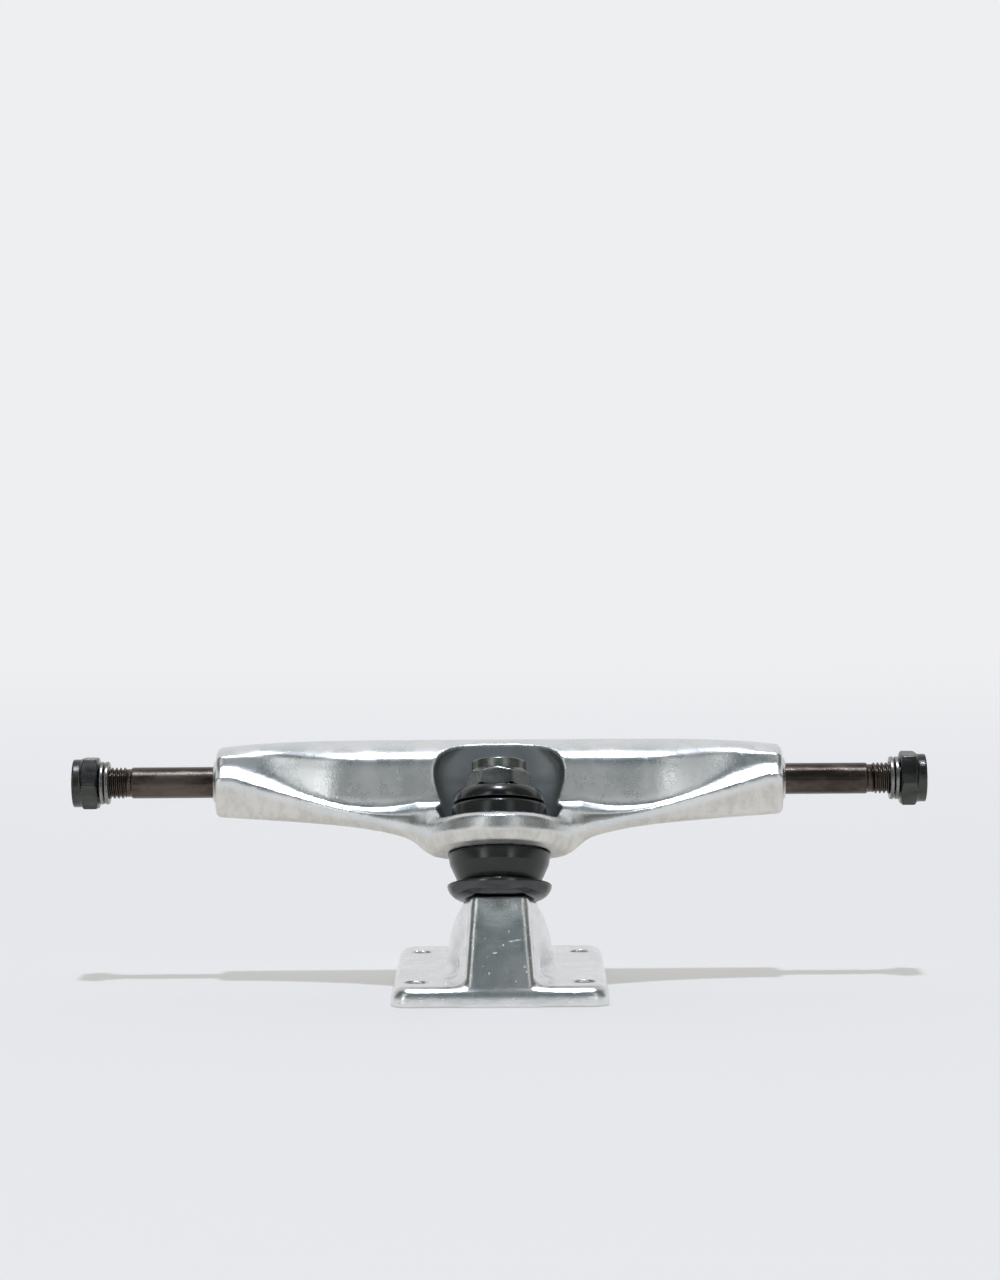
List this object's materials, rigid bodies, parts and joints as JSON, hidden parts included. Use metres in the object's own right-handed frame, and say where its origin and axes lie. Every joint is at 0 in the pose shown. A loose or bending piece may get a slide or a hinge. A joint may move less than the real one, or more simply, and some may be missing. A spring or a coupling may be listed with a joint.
{
  "type": "skateboard truck",
  "caption": "Cast skateboard truck: baseplate, leaning kingpin with urethane bushings and cup washers, steering hanger, and a threaded steel axle with lock nuts and speed washers.",
  "frame": {"origin": "centre of the mounting-hole pattern on the baseplate's flat underside, the face that meets the deck", "axes": "+X along the axle, +Z from the underside towards the axle, and -Y to the kingpin side"},
  "size_m": [0.2176, 0.0771, 0.0616],
  "materials": {
    "cast_aluminium": "tumbled bare casting",
    "polished_aluminium": "satin polished bare casting",
    "kingpin_steel": "dark oxide",
    "cup_washer_steel": "glossy black plating",
    "bushing_urethane": "semi-matte black urethane",
    "insert_nylon": "black nylon",
    "pivot_urethane": "black urethane",
    "axle_steel": "brown-black oxide with oil",
    "nut_steel": "black oxide",
    "speed_washer_steel": "dark plating"
  },
  "bodies": {
    "base": {"baseplate": "cast_aluminium", "pivot_cup": "pivot_urethane", "kingpin": "kingpin_steel", "bottom_cup_washer": "cup_washer_steel", "bottom_bushing": "bushing_urethane", "top_bushing": "bushing_urethane"},
    "hanger": {"hanger": "polished_aluminium", "axle": "axle_steel"},
    "top_washer": {"top_cup_washer": "cup_washer_steel"},
    "kingpin_nut": {"kingpin_nut": "kingpin_steel", "kingpin_nut_insert": "insert_nylon"},
    "left_washers": {"left_outer_washer": "speed_washer_steel", "left_inner_washer": "speed_washer_steel"},
    "left_nut": {"left_axle_nut": "nut_steel", "left_axle_nut_insert": "insert_nylon"},
    "right_washers": {"right_outer_washer": "speed_washer_steel", "right_inner_washer": "speed_washer_steel"},
    "right_nut": {"right_axle_nut": "nut_steel", "right_axle_nut_insert": "insert_nylon"}
  },
  "joints": [
    {"name": "hanger_steer", "type": "hinge", "parent": "base", "child": "hanger", "pos_m": [0, 0.0275, 0.0132], "axis": [0, -0.8497, 0.5273], "range_deg": [-15, 15], "stiffness_Nm_per_rad": 30, "deforming": ["bottom_bushing", "top_bushing"]},
    {"name": "kingpin_nut_travel", "type": "slide", "parent": "base", "child": "top_washer", "axis": [0, 0.284, 0.9588], "range_m": [0, 0.00107]},
    {"name": "kingpin_nut_turn", "type": "hinge", "parent": "top_washer", "child": "kingpin_nut", "pos_m": [0, -0.0193, 0.0238], "axis": [0, 0.284, 0.9588], "range_deg": [0, 360]},
    {"name": "left_nut_travel", "type": "slide", "parent": "hanger", "child": "left_washers", "axis": [1, 0, 0], "range_m": [0, 0.00424]},
    {"name": "left_nut_turn", "type": "hinge", "parent": "left_washers", "child": "left_nut", "pos_m": [0, 0.0095, 0.0513], "axis": [1, 0, 0], "range_deg": [0, 1440]},
    {"name": "right_nut_travel", "type": "slide", "parent": "hanger", "child": "right_washers", "axis": [-1, 0, 0], "range_m": [0, 0.00424]},
    {"name": "right_nut_turn", "type": "hinge", "parent": "right_washers", "child": "right_nut", "pos_m": [0, 0.0095, 0.0513], "axis": [-1, 0, 0], "range_deg": [0, 1440]}
  ],
  "couplings": [
    {"joint": "kingpin_nut_travel", "follows": "kingpin_nut_turn", "m_per_rad": 0.00016844},
    {"joint": "left_nut_travel", "follows": "left_nut_turn", "m_per_rad": 0.00016844},
    {"joint": "right_nut_travel", "follows": "right_nut_turn", "m_per_rad": 0.00016844}
  ]
}
